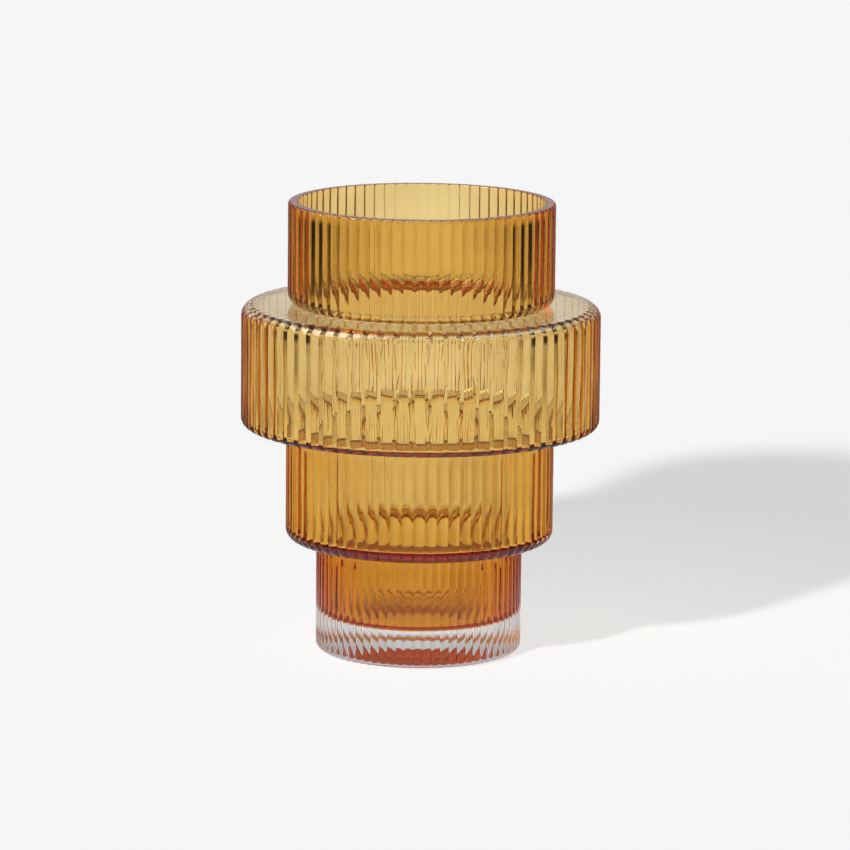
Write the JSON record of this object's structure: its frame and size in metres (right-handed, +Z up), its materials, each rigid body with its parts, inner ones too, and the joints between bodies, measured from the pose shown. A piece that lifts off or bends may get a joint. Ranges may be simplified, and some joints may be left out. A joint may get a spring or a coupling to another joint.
{
  "type": "ribbed glass vase",
  "caption": "Stepped ribbed glass vase with a wide drum: amber lining under a clear ribbed casing, on a heavy clear base, open at the mouth for stems and water.",
  "frame": {"origin": "on the axis, on the ground under the ring of the foot", "axes": "+Z up the vase's axis of revolution"},
  "size_m": [0.1978, 0.1978, 0.25],
  "materials": {
    "amber_glass": "transparent amber, polished inside",
    "clear_glass": "clear, fire-polished ribs, ground and polished rim"
  },
  "bodies": {
    "root": {"mouth_lining": "amber_glass", "mouth_casing": "clear_glass", "drum_lining": "amber_glass", "drum_casing": "clear_glass", "waist_lining": "amber_glass", "waist_casing": "clear_glass", "foot_lining": "amber_glass", "foot_casing": "clear_glass"}
  },
  "joints": []
}
